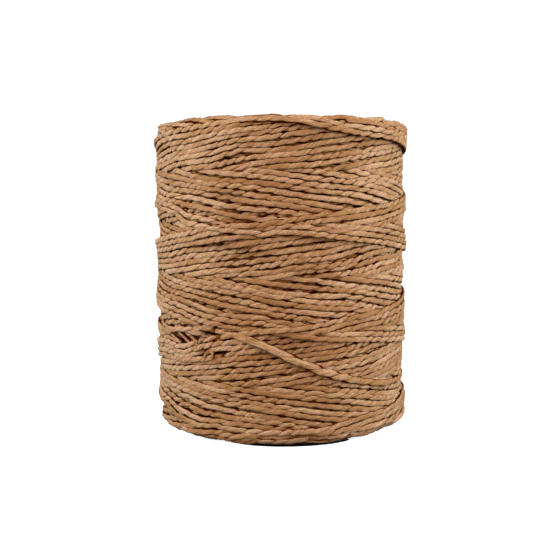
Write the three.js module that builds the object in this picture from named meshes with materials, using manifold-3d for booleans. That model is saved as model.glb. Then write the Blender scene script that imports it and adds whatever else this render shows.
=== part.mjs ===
// Roll of paper raffia yarn: a coreless, cross-wound roll of two-ply paper yarn that stands on its end.
// The last turn of the yarn lies loose around the roll, and its cut end is tucked under two other turns.
// Millimetres, +Z up. The origin is the centre of the base, and -Y is the front.
// A place on the wall is given by its turn, in degrees from the front towards +X, and by its height.

import * as THREE from "three";
import { mergeVertices } from "three/addons/utils/BufferGeometryUtils.js";
import Module from "manifold-3d";

const wasm = await Module();
wasm.setup();

// Roll
const rollRadius = 43;
const rollHeight = 103;
const holeRadius = 13;
const baseShoulder = 3;
const topShoulder = 3;

// Winding: turns climb one way and fall the other, each newer one lying beside the one before it.
// The newest rising and the newest falling turn cross at one height and turn of the wall.
const lead = 33.65;
const crossing = { turn: -22, height: 35.6 };
const layerDrop = 2.0;
const ridgesPerLead = 8;
const ridgeHeight = 0.65;
const newestEdge = 1.3;

// Turns on the top face
const topRidges = 5;
const topRidgeHeight = 0.5;

// Loose end
const yarnDiameter = 2.2;
const yarnSides = 8;
const yarnSteps = 76;
const yarnClearance = 0.3;

// Route of the loose end: turn and height on the wall, and how far its middle lies outside the roll's radius.
const looseEndRoute = [
  { turn: -29, height: 36.0, lift: -1.4 },
  { turn: -22, height: 35.1, lift: -0.9 },
  { turn: -15, height: 34.2, lift: 0.0 },
  { turn: -8, height: 32.3, lift: 0.2 },
  { turn: 0, height: 29.6, lift: 0.0 },
  { turn: 10, height: 26.1, lift: -0.3 },
  { turn: 20, height: 23.0, lift: -0.5 },
  { turn: 30, height: 20.7, lift: -0.6 },
  { turn: 36, height: 19.5, lift: -0.8 },
  { turn: 45, height: 18.2, lift: -0.9 },
  { turn: 53, height: 17.2, lift: -0.9 },
  { turn: 62, height: 16.9, lift: -0.9 },
  { turn: 72, height: 16.9, lift: -0.9 },
  { turn: 80, height: 17.0, lift: -1.0 },
  { turn: 92, height: 16.8, lift: -1.1 },
  { turn: 105, height: 16.8, lift: -1.1 },
  { turn: 125, height: 17.6, lift: -1.1 },
  { turn: 145, height: 19.4, lift: -0.8 },
  { turn: 165, height: 21.6, lift: 0.0 },
  { turn: 185, height: 24.0, lift: 0.0 },
  { turn: 205, height: 26.4, lift: -0.2 },
  { turn: 225, height: 28.6, lift: -0.4 },
  { turn: 245, height: 30.4, lift: -0.6 },
  { turn: 265, height: 32.0, lift: -0.8 },
  { turn: 278, height: 32.8, lift: -1.1 },
  { turn: 290, height: 33.3, lift: -1.2 },
  { turn: 299, height: 33.9, lift: -1.2 },
  { turn: 306, height: 34.8, lift: -1.2 },
  { turn: 312, height: 35.4, lift: -1.1 },
  { turn: 318, height: 35.5, lift: -1.2 },
  { turn: 322.5, height: 34.6, lift: -1.8 },
  { turn: 325.5, height: 33.0, lift: -2.8 },
  { turn: 327.2, height: 31.6, lift: -3.1 },
  { turn: 328.3, height: 30.4, lift: -2.5 },
  { turn: 329, height: 29.3, lift: -1.4 },
  { turn: 329.5, height: 28.4, lift: -0.4 },
];

// Fineness of the roll's surface
const columns = 40;
const wallRows = 92;
const shoulderRows = 3;
const rowsPerTopRidge = 3;

const yarnMaterial = new THREE.MeshStandardMaterial({ color: 0xb98b60, roughness: 0.85, metalness: 0 });
const looseEndMaterial = new THREE.MeshStandardMaterial({ color: 0xc79d73, roughness: 0.85, metalness: 0 });

function pointAtTurn(turn, radius, height) {
  const angle = THREE.MathUtils.degToRad(turn);
  return new THREE.Vector3(radius * Math.sin(angle), -radius * Math.cos(angle), height);
}

// Surface of one direction's turns, from the newest turn to the oldest, one lead away from it.
function courseHeight(fromNewest) {
  const age = fromNewest / lead;
  const ridge = 0.5 - 0.5 * Math.cos(2 * Math.PI * age * ridgesPerLead);
  const edge = THREE.MathUtils.smoothstep(fromNewest, 0, newestEdge);
  return ridgeHeight * (ridge - 1) - layerDrop * THREE.MathUtils.lerp(1, age, edge);
}

// Where the turns that climb and those that fall lie on one another, the newer ones show.
function windingAt(turn, height) {
  const climb = (lead * (turn - crossing.turn)) / 360;
  const belowRising = THREE.MathUtils.euclideanModulo(crossing.height + climb - height, lead);
  const aboveFalling = THREE.MathUtils.euclideanModulo(height - crossing.height + climb, lead);
  const rising = courseHeight(belowRising);
  const falling = courseHeight(aboveFalling);
  return { relief: Math.max(rising, falling), climbs: rising > falling };
}

// Rows of the roll's surface, from the hole across the base, up the wall and back across the top.
// share is how much of the winding's relief a row carries.
function surfaceRows() {
  const rows = [{ radius: holeRadius, height: 0, share: 0 }];
  for (let i = 0; i < shoulderRows; i++) {
    const angle = (Math.PI / 2) * (i / shoulderRows);
    rows.push({
      radius: rollRadius - baseShoulder * (1 - Math.sin(angle)),
      height: baseShoulder * (1 - Math.cos(angle)),
      share: Math.sin(angle),
    });
  }
  for (let i = 0; i <= wallRows; i++) {
    const height = THREE.MathUtils.lerp(baseShoulder, rollHeight - topShoulder, i / wallRows);
    rows.push({ radius: rollRadius, height, share: 1 });
  }
  for (let i = 1; i <= shoulderRows; i++) {
    const angle = (Math.PI / 2) * (i / shoulderRows);
    rows.push({
      radius: rollRadius - topShoulder * (1 - Math.cos(angle)),
      height: rollHeight - topShoulder * (1 - Math.sin(angle)),
      share: Math.cos(angle),
    });
  }
  const faceRows = topRidges * rowsPerTopRidge;
  for (let i = 1; i <= faceRows; i++) {
    const wave = 0.5 - 0.5 * Math.cos((2 * Math.PI * i) / rowsPerTopRidge);
    rows.push({
      radius: THREE.MathUtils.lerp(rollRadius - topShoulder, holeRadius, i / faceRows),
      height: rollHeight - topRidgeHeight * wave,
      share: 0,
    });
  }
  return rows;
}

// The roll's closed surface: rows ring the hole, columns go round the roll, and both close on themselves.
function woundGeometry() {
  const rows = surfaceRows();
  const positions = [];
  const climbs = [];
  for (const row of rows) {
    for (let column = 0; column < columns; column++) {
      const turn = (360 * column) / columns;
      const winding = windingAt(turn, row.height);
      positions.push(...pointAtTurn(turn, row.radius + row.share * winding.relief, row.height).toArray());
      climbs.push(winding.climbs);
    }
  }
  const indices = [];
  for (let row = 0; row < rows.length; row++) {
    for (let column = 0; column < columns; column++) {
      const nextRow = (row + 1) % rows.length;
      const nextColumn = (column + 1) % columns;
      const here = row * columns + column;
      const beside = row * columns + nextColumn;
      const above = nextRow * columns + column;
      const across = nextRow * columns + nextColumn;
      if (climbs[here]) {
        indices.push(here, beside, across, here, across, above);
      } else {
        indices.push(here, beside, above, beside, across, above);
      }
    }
  }
  const geometry = new THREE.BufferGeometry();
  geometry.setAttribute("position", new THREE.Float32BufferAttribute(positions, 3));
  geometry.setIndex(indices);
  return geometry;
}

function looseEndCurve() {
  const points = looseEndRoute.map((row) => pointAtTurn(row.turn, rollRadius + row.lift, row.height));
  return new THREE.CatmullRomCurve3(points, false, "centripetal");
}

function tubeGeometry(curve, radius, steps) {
  const section = new THREE.Shape();
  section.absarc(0, 0, radius, 0, 2 * Math.PI);
  const halfTurnSides = yarnSides / 2;
  const options = { steps, curveSegments: halfTurnSides, bevelEnabled: false, extrudePath: curve };
  return new THREE.ExtrudeGeometry(section, options);
}

// The space the loose end needs in the roll, a little longer than the yarn at both of its ends.
function clearanceCurve(curve) {
  const first = curve.points[0];
  const last = curve.points[curve.points.length - 1];
  const before = curve.getTangentAt(0).multiplyScalar(-yarnClearance).add(first);
  const after = curve.getTangentAt(1).multiplyScalar(yarnClearance).add(last);
  return new THREE.CatmullRomCurve3([before, ...curve.points, after], false, "centripetal");
}

function solidOf(geometry) {
  const bare = geometry.clone();
  bare.deleteAttribute("normal");
  bare.deleteAttribute("uv");
  const merged = mergeVertices(bare);
  const vertProperties = merged.getAttribute("position").array;
  const triVerts = new Uint32Array(merged.index.array);
  return new wasm.Manifold(new wasm.Mesh({ numProp: 3, vertProperties, triVerts }));
}

function geometryOf(solid) {
  const mesh = solid.getMesh();
  const geometry = new THREE.BufferGeometry();
  geometry.setAttribute("position", new THREE.BufferAttribute(mesh.vertProperties, 3));
  geometry.setIndex(new THREE.BufferAttribute(mesh.triVerts, 1));
  geometry.computeVertexNormals();
  return geometry;
}

function woundRoll() {
  const route = clearanceCurve(looseEndCurve());
  const channel = tubeGeometry(route, yarnDiameter / 2 + yarnClearance, yarnSteps);
  const solid = solidOf(woundGeometry()).subtract(solidOf(channel));
  const mesh = new THREE.Mesh(geometryOf(solid), yarnMaterial);
  mesh.name = "wound_roll";
  return mesh;
}

function looseEnd() {
  const geometry = tubeGeometry(looseEndCurve(), yarnDiameter / 2, yarnSteps);
  const mesh = new THREE.Mesh(geometry, looseEndMaterial);
  mesh.name = "loose_end";
  return mesh;
}

const roll = new THREE.Group();
roll.name = "raffia_yarn_roll";
roll.add(woundRoll(), looseEnd());

export default roll;
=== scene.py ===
"""Roll of paper raffia yarn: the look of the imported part.

The yarn of the wall is wound onto a map of the roll's surface, stroke by stroke, each turn lying on those
before it, and every stretch that still shows at the end becomes a twisted two-ply strand. The loose end, the
end faces and the inside of the hole are strands laid along lines of their own. A place on the roll is given
by its turn, in degrees from the front towards +X, and by its length along the roll's profile, which is the
height on the wall and runs on round the shoulders and inwards over both end faces. Lift is the distance
outside the profile. Lengths are millimetres until a mesh is made.
"""

import math
from collections import namedtuple

import bpy
import numpy as np
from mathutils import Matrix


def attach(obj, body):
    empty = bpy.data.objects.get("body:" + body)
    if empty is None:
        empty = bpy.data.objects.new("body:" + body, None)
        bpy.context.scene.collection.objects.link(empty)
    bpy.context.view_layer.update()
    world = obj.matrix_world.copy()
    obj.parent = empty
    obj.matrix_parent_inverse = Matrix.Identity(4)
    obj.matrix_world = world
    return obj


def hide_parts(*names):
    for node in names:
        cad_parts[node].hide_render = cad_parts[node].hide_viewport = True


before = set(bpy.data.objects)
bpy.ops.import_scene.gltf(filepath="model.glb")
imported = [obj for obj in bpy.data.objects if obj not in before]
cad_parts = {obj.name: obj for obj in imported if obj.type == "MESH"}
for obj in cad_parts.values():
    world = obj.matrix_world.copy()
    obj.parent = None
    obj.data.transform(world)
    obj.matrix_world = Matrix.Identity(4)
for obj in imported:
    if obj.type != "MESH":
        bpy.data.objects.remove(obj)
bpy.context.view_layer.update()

METRES = 0.001
BODY = "root"
rng = np.random.default_rng(11)

# Roll
ROLL_RADIUS = 43.0
ROLL_HEIGHT = 103.0
HOLE_RADIUS = 13.0
BASE_SHOULDER = 3.0
TOP_SHOULDER = 3.0
WALL_TOP = ROLL_HEIGHT - TOP_SHOULDER
BASE_ARC = BASE_SHOULDER * math.pi / 2
TOP_ARC = TOP_SHOULDER * math.pi / 2

# Winding: strokes climb and fall by turns, and the last rising and falling ones cross at one place.
LEAD = 33.65
CROSSING_TURN = -22.0
CROSSING_HEIGHT = 35.6
STROKES_PER_LEAD = 18
PITCH = LEAD / STROKES_PER_LEAD
CORNER_ROUNDING = 1.4
TURNS_TO_TOP = 2
TURNS_THERE_AND_BACK = 6
CORNER_TOP = CROSSING_HEIGHT + TURNS_TO_TOP * LEAD
STROKE_TURN = (TURNS_THERE_AND_BACK * 360 - 360 / STROKES_PER_LEAD) / 2
STROKE_RISE = LEAD * STROKE_TURN / 360
CORNER_BASE = CORNER_TOP - STROKE_RISE
LAST_TOP_TURN = CROSSING_TURN + 180 / STROKES_PER_LEAD - TURNS_TO_TOP * 360
LAST_TURN = -29.0
STROKES_WOUND = 112
SHOULDER_SPREAD = 2.0
SHOULDER_REACH = 4.0
TURNING_SAMPLES = 41
END_MERGE_TURN = 16

# Sideways wander of the yarn: the waves that neighbouring turns share, and those of each turn's own
SHARED_WAVES = 14
SHARED_ORDER = 9
SHARED_LENGTHS = (9, 45)
SHARED_WANDER = 0.3
OWN_WAVES = 30
OWN_TURNS = (25, 150)
OWN_WANDER = 0.16

# Gaps that show between neighbouring turns: turn and height at both ends, and how far the turns part. Where
# that is negative, the turns are drawn together. The ends of most were read by eye in the photograph, in
# pixels, and converted to turns and heights on the wall by a scratch program.
OPEN_GAPS = [
    (-43, 98.5, -23, 100, 0.3),
    (-28, 95.5, -18, 96.5, 0.4),
    (-45, 94.5, -29, 96, 0.3),
    (-7, 92.5, 10, 94.5, 0.4),
    (-23, 90.5, -15, 91.5, 0.4),
    (-41, 85.5, -28, 84.5, 0.4),
    (-28, 85, 10, 81.5, 0.4),
    (-74, 81, -42, 78, 0.4),
    (0, 80, 39, 77, 0.4),
    (-8, 79, 32, 75.5, 0.4),
    (-32, 77, 20, 72.5, 0.4),
    (22, 101.5, 60, 98.5, -0.5),
    (26, 100, 75, 95.5, -0.4),
    (29, 96.5, 42, 98.5, 0.3),
    (36, 95.5, 54, 97, 0.4),
    (22, 91.5, 35, 93, 0.4),
    (44, 90.5, 67, 93, 0.4),
    (18, 87.5, 42, 90, 0.4),
    (26, 86, 36, 85, 0.4),
    (43, 76, 55, 75, 0.4),
    (-23, 74.5, 2, 72, 0.4),
    (-44, 72.5, -23, 70.5, 0.4),
    (-23, 72, -1, 70, 0.4),
    (-43, 69.5, -9, 67, 0.1),
    (-2, 72.5, 11, 71.5, 0.4),
    (15, 69.5, 29, 70.5, 0.5),
    (-33, 65.5, -21, 66.5, 0.5),
    (-37, 62.5, -15, 64.5, 0.5),
    (-50, 61.5, -43, 62, 0.4),
    (-43, 60, -32, 61, 0.3),
    (-21, 58.5, -8, 60, 0.4),
    (3, 63, 15, 64, 0.5),
    (27, 61, 35, 62, 0.4),
    (33, 60, 53, 62, 0.4),
    (62, 59.5, 71, 60.5, 0.4),
    (18, 57, 34, 58.5, 0.5),
    (-8, 56, 21, 58.5, 0.3),
    (7, 53.5, 32, 56, 0.55),
    (-32, 51.5, -13, 54, 0.4),
    (-56, 51.5, -44, 50.5, 0.4),
    (-46, 49.5, -15, 47, 0.4),
    (-19, 51.5, 2, 49.5, 0.4),
    (-2, 50, 18, 48, 0.4),
    (21, 51.5, 77, 47.5, 0.25),
    (13, 46.5, 64, 42, 0.3),
    (-2, 44, 21, 42, 0.4),
    (-32, 43.5, 2, 40.5, 0.4),
    (3, 42, 35, 39, 0.25),
    (-41, 40, -17, 37.5, 0.4),
    (-2, 40, 24, 38, 0.4),
    (42, 36.5, 72, 38.5, 0.4),
    (-20, 26, 0, 28.5, 0.4),
    (7, 28.5, 32, 31.5, 0.5),
    (12, 27.5, 42, 30.5, 0.4),
    (16, 25.5, 54, 29.5, 0.5),
    (-27, 19.5, 2, 22.5, 0.4),
    (15, 18, 28, 20, 0.4),
    (-43, 17, -25, 16, 0.4),
    (-58, 15.5, -3, 10, 0.5),
    (-66, 14.5, -45, 12, 0.4),
    (25, 17, 69, 13.5, 0.3),
    (0, 15.5, 13, 14, 0.4),
    (16, 13.5, 34, 12, 0.4),
    (-37, 9, -13, 6.5, 0.1),
    (-50, 12, -36, 10.5, -0.3),
    (-53, 7, -38, 5.5, 0.4),
    (-14, 6, 2, 5, 0.4),
    (5, 8.5, 30, 7, 0.3),
    (27, 6, 51, 7.5, 0.3),
    (-34, 28.4, -26, 29.2, 1.4),
]
GAP_FADE = 10.0
GAP_REACH = 3.0
GAP_SEARCH = 2.5
GAP_ALIGNED = 0.7

# Turns pressed aside: whether they climb, turn, height, reach round the roll and in height, and the shift.
PRESSED_TURNS = [
    (True, -48, 31.8, 12, 5, -2.6),
]

# Places where the roll is wound fuller or slacker: turn, length along the profile, reach round the roll and
# along the profile, and the change in lift.
UNEVEN_PLACES = [
    (-95, 2, 45, 6, -1.6),
    (85, 3, 40, 5, 0.8),
    (-90, 28.5, 35, 2.5, -0.9),
    (-88, 34.3, 30, 2.2, 1.2),
    (92, 31, 40, 14, 0.8),
    (-90, 55, 30, 3, 0.7),
    (90, 61.5, 30, 2.5, 0.8),
    (-90, 68, 35, 5, -0.6),
    (-90, 86, 35, 7, 0.7),
    (88, 97.5, 30, 4, -0.9),
    (-92, 103, 35, 3.5, -0.9),
    (38, 102, 36, 6, 0.9),
    (-55, 102, 30, 6, -0.6),
]

# Hollows between the newest turns: turn, height, reach round the roll, reach in height, and depth.
POCKETS = [
    (-48.5, 32.7, 10, 1.6, 3.2),
    (-31, 34.9, 5, 1.1, 3.0),
    (-30, 28.7, 6, 0.9, 2.4),
]

# Stretches of deeper turns that lie aslant in the largest hollow: turn and height at both ends.
SLANTED_TURNS = [
    (-64, 33.6, -51, 30.4),
    (-54.5, 34.4, -45, 31.2),
    (-48.5, 34.6, -39.5, 31.6),
]
SLANTED_LIFT = -1.8
SLANTED_SAMPLES = 12
SLANTED_LENGTH = 9
SLANTED_LOOSENING = 1.0

# Map of the roll's surface that the yarn is laid on
COLUMNS = 540
COLUMN_TURN = 360 / COLUMNS
COLUMN_STEP = math.radians(COLUMN_TURN) * ROLL_RADIUS
ROW_STEP = 0.2
MAP_LOW = -12.0
MAP_HIGH = 116.0
BARE_LIFT = -4.0
LAID_HALF_WIDTH = 0.96
WIDEST_LEAN = 1.15
SINK = 0.56
SETTLE_LENGTH = 4.0
SUPPORT_SHARPNESS = 1.6

# Crest: the percentage of the surface that stays within the profile on the wall, the base and the top
WALL_CREST = 85
BASE_CREST = 80
TOP_CREST = 50
WALL_CREST_FROM = 10
WALL_CREST_TO = 95
CREST_SMOOTHING = 3.0

# How deep a turn lies under its neighbours, which are found this many map rows away from it. That depth
# sets the turn's painted shade, which is capped, and less at the roll's sides as painted light where the
# side lamps reach into the grooves.
NEIGHBOUR_ROWS = range(2, 8)
COVER_SMOOTHING = 7
COVER_BY_LOWER = 0.8
SUNK_SHARE = 0.25
DEEP_SHARE = 0.6
DEEP_FROM = 1.0
DEEPEST = 0.26
LESS_PAINTED_SHADE_AT_SIDES = 0.25

# Yarn
PLY_PITCH = 9.4
TWIST_SWAY = 0.13
SWELL = 0.045
HALF_THICKNESS = 0.84
RING_STEP = 0.9
CREASE_WAVES = 8
CREASE_RELIEF = 0.03
SEAM_MEAN = 0.5
SEAM_VARIATION = 0.35
SEAM_LEAST = 0.05
SEAM_SPREAD = 0.5
SEAM_NOTCH = 0.36
SEAM_ON_CREST = 0.2
GROOVE_ON_CREST = 0.55
PLY_BULGE = 0.12
PLY_BULGE_SEAMLESS = 0.5
PLY_BULGE_ON_CREST = 0.2

# Outside the roll the yarn turns loose over its first length, and tight again between the next two.
LOOSENING = 18.0
TIGHTENING = (38.0, 75.0)
LOOSE_SPREAD = 0.4
LOOSE_UNTWIST = 0.6
LOOSE_SEAM_CLOSED = 0.6

# Sections of a strand: pressed flat among its neighbours, slack, free, or one ply alone. Angles are those of
# the points, with 90 outwards, and the squareness is 2 for an ellipse.
Section = namedtuple("Section", "angles squareness half_width half_thickness")
PRESSED = Section([-8, 16, 33, 45, 58, 90, 122, 135, 147, 164, 188, 270], 5.0, 0.85, HALF_THICKNESS)
SLACK = Section(range(-90, 270, 30), 3.0, 0.46, 0.7)
FREE = Section(range(-90, 270, 18), 2.8, 0.96, 0.92)
PLY_END = Section(range(-90, 270, 36), 2.4, 0.62, 0.62)

# Stretches of yarn that show, counted in samples of the path and cells of the map
HIDDEN_MARGIN = 8
GAP_CLOSED = 6
LEAST_CELLS = 1

# Routes of the two plies' cut ends, which have parted: turn, height, and lift of their middles.
PLY_END_ROUTES = [
    [(-31.2, 30.0, -2.0), (-32.2, 29.1, -0.5), (-32.9, 28.2, 0.5), (-33.4, 27.2, 0.6)],
    [(-30.2, 29.8, -1.6), (-29.8, 29.0, -0.2), (-29.5, 28.2, 0.6), (-29.3, 27.3, 0.6)],
]

# Route of the loose end: turn, height on the wall, and lift of its middle.
LOOSE_END_ROUTE = [
    (-29, 36.0, -1.4),
    (-22, 35.1, -0.9),
    (-15, 34.2, 0.0),
    (-8, 32.3, 0.2),
    (0, 29.6, 0.0),
    (10, 26.1, -0.3),
    (20, 23.0, -0.5),
    (30, 20.7, -0.6),
    (36, 19.5, -0.8),
    (45, 18.2, -0.9),
    (53, 17.2, -0.9),
    (62, 16.9, -0.9),
    (72, 16.9, -0.9),
    (80, 17.0, -1.0),
    (92, 16.8, -1.1),
    (105, 16.8, -1.1),
    (125, 17.6, -1.1),
    (145, 19.4, -0.8),
    (165, 21.6, 0.0),
    (185, 24.0, 0.0),
    (205, 26.4, -0.2),
    (225, 28.6, -0.4),
    (245, 30.4, -0.6),
    (265, 32.0, -0.8),
    (278, 32.8, -1.1),
    (290, 33.3, -1.2),
    (299, 33.9, -1.2),
    (306, 34.8, -1.2),
    (312, 35.4, -1.1),
    (318, 35.5, -1.2),
    (322.5, 34.6, -1.8),
    (325.5, 33.0, -2.8),
    (327.2, 31.6, -3.1),
    (328.3, 30.4, -2.5),
    (329, 29.3, -1.4),
    (329.5, 28.4, -0.4),
]

# End faces: rings of arcs from the shoulder inwards to the hole
FACE_RING_STEP = 1.9
FACE_RING_LENGTH = 1.3
FACE_OUTER_INSET = 1.2
FACE_INNER_INSET = 0.6
FACE_ARCS_PER_RADIUS = 0.32
FACE_ARC_SHARE = (0.8, 1.0)
FACE_ARC_DRIFT = (0.5, 0.9)
FACE_DRIFT_SPREAD = 0.2
FACE_TURN_SPREAD = 3
FACE_ARC_DIP = 1.5
FACE_DEEPER = 0.3
FACE_SUNK_SHARE = 0.08

# Turns seen inside the hole
HOLE_MARGIN = 1.2
HOLE_TURN_STEP = 5.0
HOLE_RING_LENGTH = 1.8
# Painted shade of the hole's turns: less than on the wall, only on their flanks and backs.
HOLE_SUNK = 0.3
HOLE_YARN_APART = 1000

# Body beneath the turns that show, painted near-black as the shade seen between them
CORE_INSET = 4.2
CORE_HOLE_INSET = 1.7
CORE_BASE_REACH = 23
CORE_TOP_REACH = 25
CORE_SIDES = 96

# Colours of the paper, each from its darker to its lighter tone, and of the shade in its hollows
YELLOW_PAPER = ((0.245, 0.115, 0.04, 1.0), (0.385, 0.225, 0.108, 1.0))
PINK_PAPER = ((0.255, 0.113, 0.049, 1.0), (0.395, 0.215, 0.126, 1.0))
WARM_SHADE = (0.16, 0.055, 0.012, 1.0)
DEEP_SHADE = (0.045, 0.003, 0.0, 1.0)

# Where each effect on the paper begins and is full. Tone and patches are the paper's own colour; pleats,
# hollows and seams get painted shade, and the seams a bump as well.
TONE_RANGE = (0.3, 0.75)
PATCH_RANGE = (0.35, 0.65)
PLEAT_RANGE = (0.035, 0.0)
HOLLOW_RANGE = (0.08, 0.48)
SEAM_RANGE = (0.26, 0.05)

# How much each effect counts
SHADE_IN_TONE = 0.1
PLEAT_SHADE = 0.5
CREASE_BUMP = 0.6
SEAM_BUMP = 0.8
BUMP_DEPTH = 0.4

# Studio. The camera doesn't see the square patch under the roll, which keeps the floor's light from it.
FLOOR_HALF_WIDTH = 1600.0
FLOOR_DROP = 0.2
FLOOR_GLOW = 0.75
UNDER_ROLL_HALF_WIDTH = 60.0
BACKDROP_SIDES = 48
BACKDROP_RADIUS = 2200.0
BACKDROP_HALF_HEIGHT = 3000.0
BACKDROP_GLOW = 1.05
WORLD_COLOUR = (1, 0.93, 0.86, 1)
WORLD_STRENGTH = 0.42

# Painted contact shadow: a dark strip on the floor along the roll's front edge
CONTACT_INNER = 30.0
CONTACT_OUTER = 41.9
CONTACT_TURNS = (-22, 36)
CONTACT_SAMPLES = 41
CONTACT_BLUNTNESS = 0.1
CONTACT_DROP = 0.1


def smooth_step(value, low, high):
    share = np.clip((value - low) / (high - low), 0, 1)
    return share * share * (3 - 2 * share)


def smoothed(values, width):
    """Running mean over width samples, twice, with the ends held."""
    kernel = np.ones(width) / width
    for _ in range(2):
        padded = np.pad(values, width // 2, mode="edge")
        values = np.convolve(padded, kernel, mode="valid")[: len(values)]
    return values


def place(turn, along, lift):
    """Points and outward normals, in millimetres, at turns, lengths along the profile and lifts."""
    turn, along, lift = np.broadcast_arrays(*(np.asarray(v, float) for v in (turn, along, lift)))
    base = np.clip((BASE_SHOULDER - along) / BASE_SHOULDER, 0, math.pi / 2)
    top = np.clip((along - WALL_TOP) / TOP_SHOULDER, 0, math.pi / 2)
    on_base = np.maximum(0, BASE_SHOULDER - BASE_ARC - along)
    on_top = np.maximum(0, along - WALL_TOP - TOP_ARC)
    radius = ROLL_RADIUS - BASE_SHOULDER * (1 - np.cos(base)) - TOP_SHOULDER * (1 - np.cos(top))
    radius = radius - on_base - on_top
    height = np.clip(along, BASE_SHOULDER, WALL_TOP)
    height = height - BASE_SHOULDER * np.sin(base) + TOP_SHOULDER * np.sin(top)
    outward = np.cos(base) * np.cos(top)
    upward = np.sin(top) - np.sin(base)
    angle = np.radians(turn)
    side, front = np.sin(angle), -np.cos(angle)
    far = radius + lift * outward
    points = np.stack([far * side, far * front, height + lift * upward], -1)
    normals = np.stack([outward * side, outward * front, upward], -1)
    return points, normals


def facing_turn(turn):
    """Turns from the front, from -180 to 180 degrees."""
    return (turn + 180) % 360 - 180


def run_along(line):
    """Length along a line of points to each of them."""
    return np.concatenate([[0], np.cumsum(np.linalg.norm(np.diff(line, axis=0), axis=1))])


def resampled(vectors, run, at):
    """Vectors at new lengths along a line, from those at the lengths in run."""
    return np.stack([np.interp(at, run, vectors[:, axis]) for axis in range(3)], -1)


def unit(vectors):
    return vectors / np.linalg.norm(vectors, axis=-1, keepdims=True)


def waves(count, shortest, longest):
    """Random waves between two wavelengths: their wave numbers and phases."""
    numbers = 2 * math.pi / rng.uniform(shortest, longest, count)
    return numbers, rng.uniform(0, 2 * math.pi, count)


def make_camera():
    """The photograph's view: from the front, a little above, with the roll's top just above eye level."""
    aim_height, distance, elevation = 48.8, 357.6, math.radians(5)
    data = bpy.data.cameras.new("camera")
    data.lens = 65.6
    data.sensor_width = 36
    data.shift_x = -0.001
    data.clip_start = 0.01
    camera = bpy.data.objects.new("camera", data)
    bpy.context.scene.collection.objects.link(camera)
    height = aim_height + distance * math.sin(elevation)
    camera.location = (0, -distance * math.cos(elevation) * METRES, height * METRES)
    camera.rotation_euler = (math.pi / 2 - elevation, 0, 0)
    bpy.context.scene.camera = camera


# Wound path


def wander(turn, along, climbing):
    """Sideways wander of the yarn: a part shared by neighbouring turns and a part of each turn's own."""
    shared = np.zeros_like(turn)
    for share in (climbing, 1 - climbing):
        part = np.zeros_like(turn)
        for _ in range(SHARED_WAVES):
            around = rng.integers(-SHARED_ORDER, SHARED_ORDER + 1)
            along_number = 2 * math.pi / rng.uniform(*SHARED_LENGTHS) * rng.choice([-1, 1])
            phase = rng.uniform(0, 2 * math.pi)
            part += np.cos(np.radians(around * turn) + along_number * along + phase)
        shared += share * part / math.sqrt(SHARED_WAVES)
    own = np.zeros_like(turn)
    for number, phase in zip(*waves(OWN_WAVES, *OWN_TURNS)):
        own += np.cos(number * turn + phase)
    return SHARED_WANDER * shared + OWN_WANDER * own / math.sqrt(OWN_WAVES)


def parted(turn, along, stroke):
    """The yarn's lengths along the profile once its turns have parted at each open gap.

    A gap opens between the two newest neighbouring turns that lie nearest to it, and they move to meet it.
    """
    facing = facing_turn(turn)
    climbs = stroke % 2 == 1
    sample = np.arange(len(turn))
    for first_turn, first_height, last_turn, last_height, opening in OPEN_GAPS:
        middle_turn, middle_height = (first_turn + last_turn) / 2, (first_height + last_height) / 2
        follows = climbs == (last_height > first_height)
        steps_away = np.rint((facing - middle_turn) / COLUMN_TURN).astype(int)
        in_passing = along[np.clip(sample - steps_away, 0, len(turn) - 1)]
        beside = follows & (steps_away == 0) & (np.abs(along - middle_height) < GAP_SEARCH * PITCH)
        newest = beside & (stroke < stroke[beside].min() + STROKES_PER_LEAD)
        heights = np.sort(along[newest])
        between = (heights[1:] + heights[:-1]) / 2
        boundary = between[np.argmin(np.abs(between - middle_height))]
        distance = np.abs(in_passing - boundary)
        within = smooth_step(facing, first_turn - GAP_FADE, first_turn)
        within *= 1 - smooth_step(facing, last_turn, last_turn + GAP_FADE)
        apart = opening / 2 * np.sign(in_passing - boundary) * np.exp(-distance / GAP_REACH)
        towards = GAP_ALIGNED * (middle_height - boundary) * np.exp(-((distance / GAP_REACH) ** 2))
        along = along + np.where(follows, within * (apart + towards), 0)
    for presses_climbing, at_turn, at_height, around, up, pushed in PRESSED_TURNS:
        near = np.exp(-(((facing - at_turn) / around) ** 2) - ((along - at_height) / up) ** 2)
        along = along + np.where(climbs == presses_climbing, pushed * near, 0)
    return along


def wound_path():
    """Columns, turns, heights along the profile and strokes of the yarn's samples, oldest first."""
    first = math.ceil((LAST_TOP_TURN - STROKES_WOUND * STROKE_TURN) / COLUMN_TURN)
    last = math.floor(LAST_TURN / COLUMN_TURN)
    column = np.arange(first, last + 1)
    turn = COLUMN_TURN * column
    stroke = np.maximum(0, np.ceil((LAST_TOP_TURN - turn) / STROKE_TURN)).astype(int)
    rise = LEAD * (turn - LAST_TOP_TURN + stroke * STROKE_TURN) / 360
    left = STROKE_RISE - rise
    climb = np.hypot(rise, CORNER_ROUNDING) + left - np.hypot(left, CORNER_ROUNDING)
    climbs = stroke % 2 == 1
    along = np.where(climbs, CORNER_BASE + climb, CORNER_TOP - climb)
    spread = SHOULDER_SPREAD * stroke / 2 / STROKES_PER_LEAD
    near_base = np.exp(-np.maximum(0, along - CORNER_BASE) / SHOULDER_REACH)
    near_top = np.exp(-np.maximum(0, CORNER_TOP - along) / SHOULDER_REACH)
    along = along + spread * (near_top - near_base)
    climbing = smoothed(climbs.astype(float), TURNING_SAMPLES)
    along = parted(turn, along + wander(turn, along, climbing), stroke)
    end_height = LOOSE_END_ROUTE[0][1]
    along += (end_height - along[-1]) * smooth_step(turn, LAST_TURN - END_MERGE_TURN, LAST_TURN)
    return column, turn, along, stroke


# Laying the yarn


def row_of(along):
    return (along - MAP_LOW) / ROW_STEP


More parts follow.
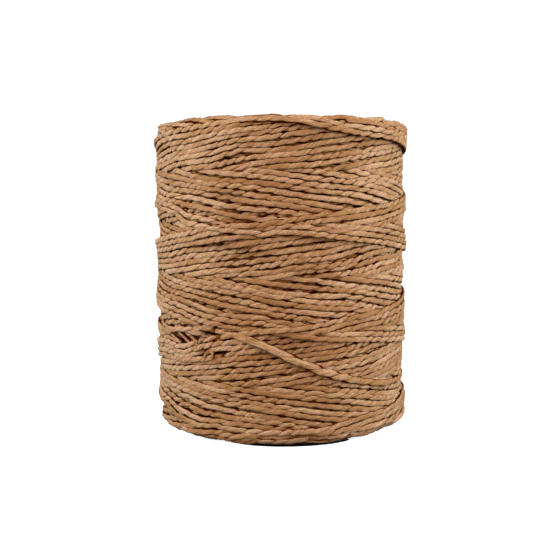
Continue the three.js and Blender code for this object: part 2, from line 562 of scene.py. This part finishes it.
def lay_yarn(column, along, stroke):
    """Lays the path on the map. Returns each sample's lift, and the map's lifts and top samples."""
    rows = round((MAP_HIGH - MAP_LOW) / ROW_STEP)
    surface = np.full((COLUMNS, rows), BARE_LIFT)
    owner = np.full((COLUMNS, rows), -1)
    lift = np.zeros(len(along))
    reach = math.ceil(WIDEST_LEAN * LAID_HALF_WIDTH / ROW_STEP)
    offsets = np.arange(-reach, reach + 1)
    lean = 1 / np.hypot(1, np.gradient(along) / COLUMN_STEP)
    settle = round(SETTLE_LENGTH / COLUMN_STEP)
    for laid_stroke in range(stroke.max(), -1, -1):
        laid = np.flatnonzero(stroke == laid_stroke)
        columns = (column[laid] % COLUMNS)[:, None]
        cells = np.rint(row_of(along[laid])).astype(int)[:, None] + offsets
        across = (MAP_LOW + cells * ROW_STEP - along[laid, None]) * lean[laid, None]
        inside = np.abs(across) < LAID_HALF_WIDTH
        arch = np.sqrt(np.clip(1 - (across / LAID_HALF_WIDTH) ** 2, 0, 1))
        below = surface[columns, cells]
        pressed = np.where(inside, arch * np.exp(SUPPORT_SHARPNESS * below), 0)
        support = np.log(pressed.sum(1) / np.where(inside, arch, 0).sum(1)) / SUPPORT_SHARPNESS
        lift[laid] = smoothed(support, settle) + HALF_THICKNESS - SINK
        height = lift[laid, None] + HALF_THICKNESS * arch
        shows = inside & (height > below)
        surface[columns, cells] = np.where(shows, height, below)
        owner[columns, cells] = np.where(shows, laid[:, None], owner[columns, cells])
    return lift, surface, owner


def crest_of(surface):
    """Lift of the highest turns at each row, one value on the wall and running down over both shoulders."""
    along = MAP_LOW + ROW_STEP * np.arange(surface.shape[1])
    wall = (along > WALL_CREST_FROM) & (along < WALL_CREST_TO)
    base_crest, top_crest = np.percentile(surface, (BASE_CREST, TOP_CREST), axis=0)
    crest = np.where(along < ROLL_HEIGHT / 2, base_crest, top_crest)
    crest = np.where(wall, np.percentile(surface[:, wall], WALL_CREST), crest)
    return smoothed(crest, round(CREST_SMOOTHING / ROW_STEP))


def cover_of(surface, column, along):
    """Lift of the turns on both sides of each sample, weighted towards the lower side."""
    cells = np.rint(row_of(along)).astype(int)
    last_row = surface.shape[1] - 1

    def highest(direction):
        rows = [np.clip(cells + direction * shift, 0, last_row) for shift in NEIGHBOUR_ROWS]
        return np.max([surface[column % COLUMNS, row] for row in rows], axis=0)

    sides = highest(-1), highest(1)
    lower, higher = np.minimum(*sides), np.maximum(*sides)
    return smoothed(COVER_BY_LOWER * lower + (1 - COVER_BY_LOWER) * higher, COVER_SMOOTHING)


def visible_runs(owner, samples):
    """First and last sample of each stretch of the yarn that shows, with a little more at both ends."""
    cells = np.bincount(owner[owner >= 0], minlength=samples)
    shown = np.flatnonzero(cells >= LEAST_CELLS)
    breaks = np.flatnonzero(np.diff(shown) > GAP_CLOSED + 2 * HIDDEN_MARGIN)
    starts = np.concatenate([shown[:1], shown[breaks + 1]]) - HIDDEN_MARGIN
    ends = np.concatenate([shown[breaks], shown[-1:]]) + HIDDEN_MARGIN
    return list(zip(np.maximum(starts, 0), np.minimum(ends, samples - 1)))


# Meshes


def new_object(name, points, triangles, attributes, material):
    """A smooth-shaded mesh piece from points in millimetres, riding on the roll's one body."""
    mesh = bpy.data.meshes.new(name)
    mesh.vertices.add(len(points))
    mesh.vertices.foreach_set("co", (points * METRES).astype(np.float32).ravel())
    mesh.loops.add(triangles.size)
    mesh.loops.foreach_set("vertex_index", triangles.astype(np.int32).ravel())
    mesh.polygons.add(len(triangles))
    mesh.polygons.foreach_set("loop_start", np.arange(0, triangles.size, 3, dtype=np.int32))
    mesh.polygons.foreach_set("use_smooth", np.ones(len(triangles), bool))
    for key, values in attributes.items():
        kind = "FLOAT_VECTOR" if values.ndim == 2 else "FLOAT"
        attribute = mesh.attributes.new(key, kind, "POINT")
        field = "vector" if values.ndim == 2 else "value"
        attribute.data.foreach_set(field, values.astype(np.float32).ravel())
    mesh.update(calc_edges=True)
    mesh.validate()
    mesh.materials.append(material)
    piece = bpy.data.objects.new(name, mesh)
    bpy.context.scene.collection.objects.link(piece)
    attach(piece, BODY)
    return piece


def wave_sum(numbers, phases, at):
    """Sum of random waves at some lengths, with a spread of about one."""
    return np.cos(np.multiply.outer(at, numbers) + phases).sum(-1) / math.sqrt(len(numbers) / 2)


class Yarn:
    """What varies along the yarn from its beginning: twist, width, shade, and how open its seams are."""

    def __init__(self):
        self.twist_waves = waves(8, 14, 90)
        self.width_waves = waves(10, 5, 45)
        self.shade_waves = waves(12, 15, 300)
        self.seam_waves = waves(8, 9, 70)
        self.crease_waves = waves(CREASE_WAVES, 2.5, 9)
        self.crease_orders = rng.integers(2, 6, CREASE_WAVES)

    def phase(self, length):
        numbers, phases = self.twist_waves
        sway = (np.sin(np.multiply.outer(length, numbers) + phases) / numbers).sum(-1)
        return -2 * math.pi / PLY_PITCH * (length + TWIST_SWAY * sway)

    def seam(self, length):
        """How open the seams between the two plies are, from 0 to 1."""
        return np.clip(SEAM_MEAN + SEAM_VARIATION * wave_sum(*self.seam_waves, length), SEAM_LEAST, 1)

    def swell(self, length):
        return 1 + SWELL * wave_sum(*self.width_waves, length)

    def creases(self, length, twist):
        """Folds of the paper that follow the plies, with a spread of about one."""
        numbers, phases = self.crease_waves
        folds = np.cos(length[:, None, None] * numbers + twist[..., None] * self.crease_orders + phases)
        return folds.sum(-1) / math.sqrt(len(numbers) / 2)


def strand(yarn, middle, outward, length, sunk, ring_step, section=PRESSED, loosening=math.inf):
    """A strand along a line: its points, and the values that its paper's look is made from.

    Length is counted from the yarn's beginning, sunk is how deep its middle lies under its neighbours and
    sets how much painted shade its paper gets, twist is the angle from the plies' widest side, and loosening
    is the length over which the yarn turns from tightly wound to loose.
    """
    run = run_along(middle)
    rings = max(3, round(run[-1] / ring_step) + 1)
    at = np.linspace(0, run[-1], rings)
    middle = resampled(middle, run, at)
    outward = resampled(outward, run, at)
    length = np.interp(at, run, length)
    sunk = np.interp(at, run, sunk)
    tangent = unit(np.gradient(middle, axis=0))
    side = unit(np.cross(outward, tangent))
    up = np.cross(tangent, side)
    angles = np.radians(section.angles)
    squareness = section.squareness
    sides = len(angles)
    looseness = smooth_step(at, 0, loosening) * (1 - smooth_step(at, *TIGHTENING))
    phase = yarn.phase(length - LOOSE_UNTWIST * np.cumsum(looseness) * at[1])
    twist = angles - (phase - 2 * math.pi * np.round(phase[0] / 2 / math.pi))[:, None]
    sideways = np.cos(angles) ** 2
    width_share, height_share = np.abs(np.cos(angles)), np.abs(np.sin(angles))
    squared = (width_share**squareness + height_share**squareness) ** (-1 / squareness)
    seam = yarn.seam(length)[:, None]
    near_seam = np.exp(-((np.cos(twist) / SEAM_SPREAD) ** 2))
    notch = SEAM_NOTCH * (1 - LOOSE_SEAM_CLOSED * looseness)[:, None] * seam * near_seam
    notch = notch * (SEAM_ON_CREST + (1 - SEAM_ON_CREST) * sideways)
    bulge = PLY_BULGE * (PLY_BULGE_SEAMLESS + seam) * np.cos(2 * twist)
    bulge = bulge * (PLY_BULGE_ON_CREST + (1 - PLY_BULGE_ON_CREST) * sideways)
    swell = yarn.swell(length)[:, None]
    radii = squared * swell * (1 - notch + bulge + CREASE_RELIEF * yarn.creases(length, twist))
    spread = 1 + LOOSE_SPREAD * looseness
    across = section.half_width * spread[:, None] * radii * np.cos(angles)
    raised = section.half_thickness * radii * np.sin(angles)
    rows = middle[:, None] + across[..., None] * side[:, None] + raised[..., None] * up[:, None]
    rows[..., 2] = np.maximum(rows[..., 2], 0)
    # Seam and depth values drive painted shade: at seams, weaker on the crest, and where the strand lies
    # deep.
    groove = seam * (GROOVE_ON_CREST + (1 - GROOVE_ON_CREST) * sideways)
    return {
        "points": capped(rows.reshape(-1, 3), middle),
        "triangles": strand_triangles(rings, sides),
        "length": capped(np.repeat(length, sides)),
        "twist": capped(twist.ravel()),
        "seam": capped(groove.ravel()),
        "shade": capped(np.repeat(wave_sum(*yarn.shade_waves, length) + looseness, sides)),
        "depth": capped((sunk[:, None] - raised).ravel()),
    }


def capped(values, ends=None):
    """Values with one more at both ends, for the cap points of a strand."""
    ends = values if ends is None else ends
    return np.concatenate([ends[:1], values, ends[-1:]])


def strand_triangles(rings, sides):
    """Triangles of a closed tube of rings with a cap point before the first ring and one after the last."""
    ring, side = np.meshgrid(np.arange(rings - 1), np.arange(sides), indexing="ij")
    here = 1 + ring * sides + side
    beside = 1 + ring * sides + (side + 1) % sides
    ahead, across = here + sides, beside + sides
    wall = np.stack([here, beside, ahead, beside, across, ahead], -1).reshape(-1, 3)
    rim = np.arange(sides)
    around = (rim + 1) % sides
    first = np.stack([np.zeros(sides, int), 1 + around, 1 + rim], -1)
    last_ring = 1 + (rings - 1) * sides
    last = np.stack([np.full(sides, last_ring + sides), last_ring + rim, last_ring + around], -1)
    return np.concatenate([wall, first, last])


def strands_object(name, strands, material):
    """One mesh of many strands."""
    counts = [len(each["points"]) for each in strands]
    firsts = np.concatenate([[0], np.cumsum(counts)[:-1]])
    triangles = np.concatenate([each["triangles"] + first for each, first in zip(strands, firsts)])
    keys = [key for key in strands[0] if key != "triangles"]
    joined = {key: np.concatenate([each[key] for each in strands]) for key in keys}
    points = joined.pop("points")
    return new_object(name, points, triangles, joined, material)


def curve_through(controls, samples):
    """Centripetal Catmull-Rom curve through the control points, as in the part's own source."""
    first = 2 * controls[0] - controls[1]
    last = 2 * controls[-1] - controls[-2]
    knots = np.vstack([first, controls, last])
    parts = []
    for p0, p1, p2, p3 in zip(knots, knots[1:], knots[2:], knots[3:]):
        t1 = np.linalg.norm(p1 - p0) ** 0.5
        t2 = t1 + np.linalg.norm(p2 - p1) ** 0.5
        t3 = t2 + np.linalg.norm(p3 - p2) ** 0.5
        t = np.linspace(t1, t2, samples, endpoint=False)[:, None]
        a1 = (t1 - t) / t1 * p0 + t / t1 * p1
        a2 = (t2 - t) / (t2 - t1) * p1 + (t - t1) / (t2 - t1) * p2
        a3 = (t3 - t) / (t3 - t2) * p2 + (t - t2) / (t3 - t2) * p3
        b1 = (t2 - t) / t2 * a1 + t / t2 * a2
        b2 = (t3 - t) / (t3 - t1) * a2 + (t - t1) / (t3 - t1) * a3
        parts.append((t2 - t) / (t2 - t1) * b1 + (t - t1) / (t2 - t1) * b2)
    return np.vstack([*parts, controls[-1:]])


def make_loose_end(yarn, wound_length, material):
    """The last turn of the yarn, loose round the roll, with its cut end tucked under two turns."""
    turn, height, lift = np.array(LOOSE_END_ROUTE, float).T
    controls, _ = place(turn, height, lift)
    line = curve_through(controls, 12)
    run = run_along(line)
    at = np.linspace(0, run[-1], round(run[-1]) + 1)
    middle = resampled(line, run, at)
    outward = unit(middle * [1, 1, 0])
    sunk = np.full(len(at), HALF_THICKNESS)
    strands = [strand(yarn, middle, outward, wound_length + at, sunk, RING_STEP, FREE, LOOSENING)]
    for route in PLY_END_ROUTES:
        turn, height, lift = np.array(route, float).T
        ply_middle, ply_outward = place(turn, height, lift)
        ply_length = strands[-1]["length"][-1] + np.arange(len(turn))
        ply_sunk = np.full(len(turn), PLY_END.half_thickness)
        strands.append(strand(yarn, ply_middle, ply_outward, ply_length, ply_sunk, RING_STEP / 2, PLY_END))
    piece = strands_object("loose_end_yarn", strands, material)
    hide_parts("loose_end")


def stands_for_roll(piece):
    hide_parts("wound_roll")


def length_along(path):
    """Length of yarn from its beginning to each sample of the path."""
    return np.cumsum(np.hypot(COLUMN_STEP, np.gradient(path[2])))


def slanted_turns(yarn, wound_length):
    """Strands of the deeper turns that lie aslant in the largest hollow."""
    strands = []
    share = np.linspace(0, 1, SLANTED_SAMPLES)
    for first_turn, first_height, last_turn, last_height in SLANTED_TURNS:
        turn = first_turn + (last_turn - first_turn) * share
        height = first_height + (last_height - first_height) * share
        middle, outward = place(turn, height, SLANTED_LIFT)
        length = wound_length + SLANTED_LENGTH * share
        deep = np.full(len(share), HALF_THICKNESS)
        strands.append(strand(yarn, middle, outward, length, deep, RING_STEP / 2, SLACK, SLANTED_LOOSENING))
    return strands


def make_turns(yarn, path, material):
    """The wound turns of the wall and both shoulders: three pieces for each direction, by height."""
    column, turn, along, stroke = path
    lift, surface, owner = lay_yarn(column, along, stroke)
    crest = crest_of(surface)
    lift = lift - np.interp(row_of(along), np.arange(len(crest)), crest)
    cover = cover_of(surface - crest, column, along)
    facing = facing_turn(turn)
    for at_turn, at_length, around, over, rise in UNEVEN_PLACES:
        lift += rise * np.exp(-(((facing - at_turn) / around) ** 2) - ((along - at_length) / over) ** 2)
    for at_turn, at_height, around, up, depth in POCKETS:
        lift -= depth * np.exp(-(((facing - at_turn) / around) ** 4) - ((along - at_height) / up) ** 4)
    lift += (LOOSE_END_ROUTE[0][2] - lift[-1]) * smooth_step(turn, LAST_TURN - END_MERGE_TURN, LAST_TURN)
    # Painted shade: how deep each turn lies under its neighbours sets how dark its paper is painted.
    under = np.maximum(0, cover - lift - HALF_THICKNESS)
    deeper = SUNK_SHARE * under + DEEP_SHARE * np.maximum(0, under - DEEP_FROM)
    sunk = HALF_THICKNESS + np.minimum(DEEPEST, deeper)
    # Less painted shade at the roll's sides: painted light where the side lamps reach into the grooves.
    sunk -= LESS_PAINTED_SHADE_AT_SIDES * np.sin(np.radians(turn)) ** 4
    length = length_along(path)
    middle, outward = place(turn, along, lift)
    batches = {}
    for start, end in visible_runs(owner, len(turn)):
        part = slice(start, end + 1)
        direction = "rising" if np.median(stroke[part]) % 2 == 1 else "falling"
        level = ("lower", "middle", "upper")[min(2, int(3 * np.mean(along[part]) / ROLL_HEIGHT))]
        made = strand(yarn, middle[part], outward[part], length[part], sunk[part], RING_STEP)
        batches.setdefault(f"{direction}_turns_{level}", []).append(made)
    batches["falling_turns_lower"] += slanted_turns(yarn, length[-1])
    for name in sorted(batches):
        stands_for_roll(strands_object(name, batches[name], material))


def face_turns(yarn, name, along_at_edge, inwards, edge_radius, material):
    """The bends of the older turns that make up one end face, in rings of overlapping arcs."""
    strands = []
    length = 0.0
    for radius in np.arange(edge_radius - FACE_OUTER_INSET, HOLE_RADIUS + FACE_INNER_INSET, -FACE_RING_STEP):
        count = round(radius * FACE_ARCS_PER_RADIUS)
        start = rng.uniform(0, 360)
        for turn in start + 360 / count * np.arange(count):
            half = 360 / count * rng.uniform(*FACE_ARC_SHARE)
            share = np.linspace(-1, 1, 2 * math.ceil(math.radians(half) * radius))
            drift = rng.uniform(*FACE_ARC_DRIFT) * share * FACE_RING_STEP / 2
            drift += rng.normal(0, FACE_DRIFT_SPREAD)
            arc_turn = turn + rng.normal(0, FACE_TURN_SPREAD) + half * share
            along = along_at_edge + inwards * (edge_radius - radius - drift)
            lift = -HALF_THICKNESS - FACE_ARC_DIP * share**2 - rng.uniform(0, FACE_DEEPER)
            middle, outward = place(arc_turn, along, lift)
            steps = length + np.linspace(0, 2 * math.radians(half) * radius, len(share))
            # A little painted shade where an arc dips under its neighbours.
            sunk = HALF_THICKNESS + FACE_SUNK_SHARE * (-lift - HALF_THICKNESS)
            strands.append(strand(yarn, middle, outward, steps, sunk, FACE_RING_LENGTH))
            length = steps[-1]
    stands_for_roll(strands_object(name, strands, material))


def make_hole_wall(yarn, material):
    """The first turns, seen inside the hole that the winding spindle left."""
    strands = []
    radius = HOLE_RADIUS + HALF_THICKNESS
    low, high = HOLE_MARGIN, ROLL_HEIGHT - HOLE_MARGIN
    for index in range(STROKES_PER_LEAD):
        turn = np.arange(0, 360 * (high - low) / LEAD, HOLE_TURN_STEP)
        height = low + LEAD * turn / 360
        angle = np.radians(turn + 360 * index / STROKES_PER_LEAD)
        outward = np.stack([-np.sin(angle), np.cos(angle), np.zeros_like(angle)], -1)
        middle = -radius * outward + height[:, None] * [0, 0, 1]
        length = HOLE_YARN_APART * index + np.radians(turn) * math.hypot(radius, LEAD / 2 / math.pi)
        sunk = np.full(len(turn), HOLE_SUNK)
        strands.append(strand(yarn, middle, outward, length, sunk, HOLE_RING_LENGTH))
    stands_for_roll(strands_object("hole_turns", strands, material))


def make_core(material):
    """The body of the roll beneath the turns that show, painted near-black as the shade between them."""
    along = np.concatenate(
        [
            np.linspace(BASE_SHOULDER - BASE_ARC - CORE_BASE_REACH, BASE_SHOULDER - BASE_ARC, 4),
            np.linspace(BASE_SHOULDER - BASE_ARC, BASE_SHOULDER, 5)[1:],
            np.linspace(BASE_SHOULDER, WALL_TOP, 12)[1:],
            np.linspace(WALL_TOP, WALL_TOP + TOP_ARC, 5)[1:],
            np.linspace(WALL_TOP + TOP_ARC, WALL_TOP + TOP_ARC + CORE_TOP_REACH, 4)[1:],
        ]
    )
    profile, _ = place(0, along, -CORE_INSET)
    radius, height = -profile[:, 1], profile[:, 2]
    radius = np.maximum(radius, HOLE_RADIUS + CORE_HOLE_INSET)
    angle = np.linspace(0, 2 * math.pi, CORE_SIDES, endpoint=False)
    ring_x = radius[:, None] * np.sin(angle)
    ring_y = -radius[:, None] * np.cos(angle)
    points = np.stack([ring_x, ring_y, np.broadcast_to(height[:, None], ring_x.shape)], -1).reshape(-1, 3)
    count = len(radius)
    ring, side = np.meshgrid(np.arange(count), np.arange(CORE_SIDES), indexing="ij")
    next_side = (side + 1) % CORE_SIDES
    here = ring * CORE_SIDES + side
    beside = ring * CORE_SIDES + next_side
    above = (ring + 1) % count * CORE_SIDES + side
    across = (ring + 1) % count * CORE_SIDES + next_side
    triangles = np.stack([here, beside, across, here, across, above], -1).reshape(-1, 3)
    stands_for_roll(new_object("under_turns", points, triangles, {}, material))


# Materials


def paper_material(name):
    """Creased kraft paper: streaks along the plies, and painted shade, warm to deep brown, where the yarn
    lies deep, at the seams between the plies and along pleats.
    """
    material = bpy.data.materials.new(name)
    material.use_nodes = True
    nodes, links = material.node_tree.nodes, material.node_tree.links
    shader = nodes["Principled BSDF"]
    shader.inputs["Roughness"].default_value = 0.7
    shader.inputs["Specular IOR Level"].default_value = 0.0

    def attribute(key):
        node = nodes.new("ShaderNodeAttribute")
        node.attribute_name = key
        return node

    def maths(operation, a, b):
        node = nodes.new("ShaderNodeMath")
        node.operation = operation
        for socket, value in zip(node.inputs, (a, b)):
            if isinstance(value, (int, float)):
                socket.default_value = value
            else:
                links.new(value, socket)
        return node.outputs[0]

    def mix(factor, a, b):
        node = nodes.new("ShaderNodeMix")
        node.data_type = "RGBA"
        for socket, value in zip((node.inputs[0], node.inputs[6], node.inputs[7]), (factor, a, b)):
            if isinstance(value, (tuple, float)):
                socket.default_value = value
            else:
                links.new(value, socket)
        return node.outputs[2]

    twist = attribute("twist").outputs["Fac"]
    from_seam = maths("COSINE", twist, 0.0)
    ply = nodes.new("ShaderNodeCombineXYZ")
    ply_axes = (attribute("length").outputs["Fac"], from_seam, maths("SINE", twist, 0.0))
    for socket, value in zip(ply.inputs, ply_axes):
        links.new(value, socket)

    def noise(stretch, detail):
        scaled = nodes.new("ShaderNodeMapping")
        scaled.inputs["Scale"].default_value = stretch
        links.new(ply.outputs["Vector"], scaled.inputs["Vector"])
        node = nodes.new("ShaderNodeTexNoise")
        node.inputs["Scale"].default_value = 1.0
        node.inputs["Detail"].default_value = detail
        links.new(scaled.outputs["Vector"], node.inputs["Vector"])
        return node.outputs["Fac"]

    def ramp(value, low, high):
        node = nodes.new("ShaderNodeMapRange")
        node.interpolation_type = "SMOOTHSTEP"
        node.inputs["From Min"].default_value = low
        node.inputs["From Max"].default_value = high
        links.new(value, node.inputs["Value"])
        return node.outputs["Result"]

    streaks = noise((0.3, 1.7, 1.7), 3)
    creases = noise((0.7, 1.5, 1.5), 3)
    patches = noise((0.25, 0.8, 0.8), 2)
    pleats = noise((0.5, 2.6, 2.6), 2)
    shade = maths("MULTIPLY", attribute("shade").outputs["Fac"], SHADE_IN_TONE)
    tone = ramp(maths("ADD", streaks, shade), *TONE_RANGE)
    colour = mix(ramp(patches, *PATCH_RANGE), mix(tone, *YELLOW_PAPER), mix(tone, *PINK_PAPER))
    pleat = ramp(maths("ABSOLUTE", maths("SUBTRACT", pleats, 0.5), 0.0), *PLEAT_RANGE)
    hollow = ramp(attribute("depth").outputs["Fac"], *HOLLOW_RANGE)
    on_seam = ramp(maths("ABSOLUTE", from_seam, 0.0), *SEAM_RANGE)
    seam = maths("MULTIPLY", attribute("seam").outputs["Fac"], on_seam)
    # Painted shade: the paper turns warm, then deep brown, in hollows, at seams and along pleats.
    shadow = maths("MAXIMUM", hollow, maths("MAXIMUM", seam, maths("MULTIPLY", pleat, PLEAT_SHADE)))
    doubled = maths("MULTIPLY", shadow, 2.0)
    colour = mix(doubled, colour, WARM_SHADE)
    colour = mix(maths("SUBTRACT", doubled, 1.0), colour, DEEP_SHADE)
    links.new(colour, shader.inputs["Base Color"])
    folds = maths("ADD", streaks, maths("MULTIPLY", creases, CREASE_BUMP))
    relief = maths("SUBTRACT", folds, maths("MULTIPLY", seam, SEAM_BUMP))
    bump = nodes.new("ShaderNodeBump")
    bump.inputs["Strength"].default_value = 1.0
    bump.inputs["Distance"].default_value = BUMP_DEPTH * METRES
    links.new(relief, bump.inputs["Height"])
    links.new(bump.outputs["Normal"], shader.inputs["Normal"])
    return material


def plain_material(name, colour, roughness, glow=0):
    """One plain colour, with a white glow for what has to stay white around the roll."""
    material = bpy.data.materials.new(name)
    material.use_nodes = True
    shader = material.node_tree.nodes["Principled BSDF"]
    shader.inputs["Base Color"].default_value = colour
    shader.inputs["Roughness"].default_value = roughness
    shader.inputs["Specular IOR Level"].default_value = 0.1
    if glow:
        shader.inputs["Emission Color"].default_value = (1, 1, 1, 1)
        shader.inputs["Emission Strength"].default_value = glow
    return material


# Stage


def make_light(name, place_mm, aim_mm, size_mm, power, colour):
    data = bpy.data.lights.new(name, "AREA")
    data.size = size_mm * METRES
    data.energy = power
    data.color = colour
    light = bpy.data.objects.new(name, data)
    bpy.context.scene.collection.objects.link(light)
    light.location = [value * METRES for value in place_mm]
    direction = np.array(aim_mm, float) - np.array(place_mm, float)
    yaw = math.atan2(direction[1], direction[0]) - math.pi / 2
    pitch = math.atan2(direction[2], math.hypot(direction[0], direction[1])) + math.pi / 2
    light.rotation_euler = (pitch, 0, yaw)


def stage_object(name, corners, faces, material):
    """A piece of the studio, which the camera sees and which throws no light or shadow on the roll."""
    data = bpy.data.meshes.new(name)
    data.from_pydata(corners, [], faces)
    data.materials.append(material)
    piece = bpy.data.objects.new(name, data)
    bpy.context.scene.collection.objects.link(piece)
    piece.visible_diffuse = False
    piece.visible_shadow = False
    return piece


def square_corners(half_width):
    """Corners of a square just below the surface that the roll stands on, in metres."""
    reach, low = half_width * METRES, -FLOOR_DROP * METRES
    return [(-reach, -reach, low), (reach, -reach, low), (reach, reach, low), (-reach, reach, low)]


def make_floor():
    """The white floor, and the darker patch that takes its place for the light under the roll."""
    white = plain_material("studio_white", (0.9, 0.9, 0.9, 1), 0.9, FLOOR_GLOW)
    grey = plain_material("floor_shade", (0.2, 0.2, 0.2, 1), 1)
    stage_object("floor", square_corners(FLOOR_HALF_WIDTH), [(0, 1, 2, 3)], white)
    shade = stage_object("floor_shade", square_corners(UNDER_ROLL_HALF_WIDTH), [(0, 1, 2, 3)], grey)
    shade.visible_camera = False
    shade.visible_diffuse = True


def make_contact_shade():
    """A painted contact shadow: a dark strip on the floor along the roll's front edge."""
    share = np.linspace(0, 1, CONTACT_SAMPLES)
    first_turn, last_turn = CONTACT_TURNS
    angle = np.radians(first_turn + (last_turn - first_turn) * share)
    inner = np.full(CONTACT_SAMPLES, CONTACT_INNER)
    outer = CONTACT_INNER + (CONTACT_OUTER - CONTACT_INNER) * np.sin(math.pi * share) ** CONTACT_BLUNTNESS
    height = np.full(CONTACT_SAMPLES, -CONTACT_DROP)
    points = []
    for radius in (inner, outer):
        rim = np.stack([radius * np.sin(angle), -radius * np.cos(angle), height], -1) * METRES
        points += rim.tolist()
    strips = [(i, i + 1, CONTACT_SAMPLES + i + 1, CONTACT_SAMPLES + i) for i in range(CONTACT_SAMPLES - 1)]
    dark = plain_material("contact_shade", (0.012, 0.005, 0.003, 1), 1)
    stage_object("contact_shade", points, strips, dark)


def make_backdrop():
    """A white drum all round the roll."""
    white = plain_material("backdrop_white", (0, 0, 0, 1), 1, BACKDROP_GLOW)
    sides = BACKDROP_SIDES
    angles = [2 * math.pi * i / sides for i in range(sides)]
    rim = [(BACKDROP_RADIUS * METRES * math.sin(a), BACKDROP_RADIUS * METRES * math.cos(a)) for a in angles]
    heights = (-BACKDROP_HALF_HEIGHT * METRES, BACKDROP_HALF_HEIGHT * METRES)
    corners = [(x, y, z) for z in heights for x, y in rim]
    wall = [(i, (i + 1) % sides, sides + (i + 1) % sides, sides + i) for i in range(sides)]
    lids = [tuple(range(sides)), tuple(range(sides, 2 * sides))]
    stage_object("backdrop", corners, wall + lids, white)


def make_studio_light():
    world = bpy.data.worlds.new("studio")
    bpy.context.scene.world = world
    world.use_nodes = True
    background = world.node_tree.nodes["Background"]
    background.inputs["Color"].default_value = WORLD_COLOUR
    background.inputs["Strength"].default_value = WORLD_STRENGTH
    bpy.context.scene.view_settings.view_transform = "Standard"
    middle = (0, 0, 50)
    cool, warm = (0.76, 1.0, 1.28), (1.0, 0.83, 0.65)
    make_light("left_light", (-410, -110, 220), middle, 240, 3.65, cool)
    make_light("right_light", (410, -110, 220), middle, 240, 4.0, cool)
    make_light("front_light", (0, -480, 330), middle, 420, 2.45, warm)
    make_light("back_light", (0, 420, 300), middle, 240, 2.4, cool)


make_camera()
raffia = paper_material("paper_raffia")
yarn = Yarn()
path = wound_path()
make_loose_end(yarn, length_along(path)[-1], paper_material("loose_raffia"))
make_turns(yarn, path, raffia)
face_turns(yarn, "base_face_turns", BASE_SHOULDER - BASE_ARC, -1, ROLL_RADIUS - BASE_SHOULDER, raffia)
face_turns(yarn, "top_face_turns", WALL_TOP + TOP_ARC, 1, ROLL_RADIUS - TOP_SHOULDER, raffia)
make_hole_wall(yarn, raffia)
# The core's near-black colour is painted shade.
make_core(plain_material("inner_paper_painted_shade", (0.05, 0.008, 0.001, 1), 0.95))
make_floor()
make_contact_shade()
make_backdrop()
make_studio_light()
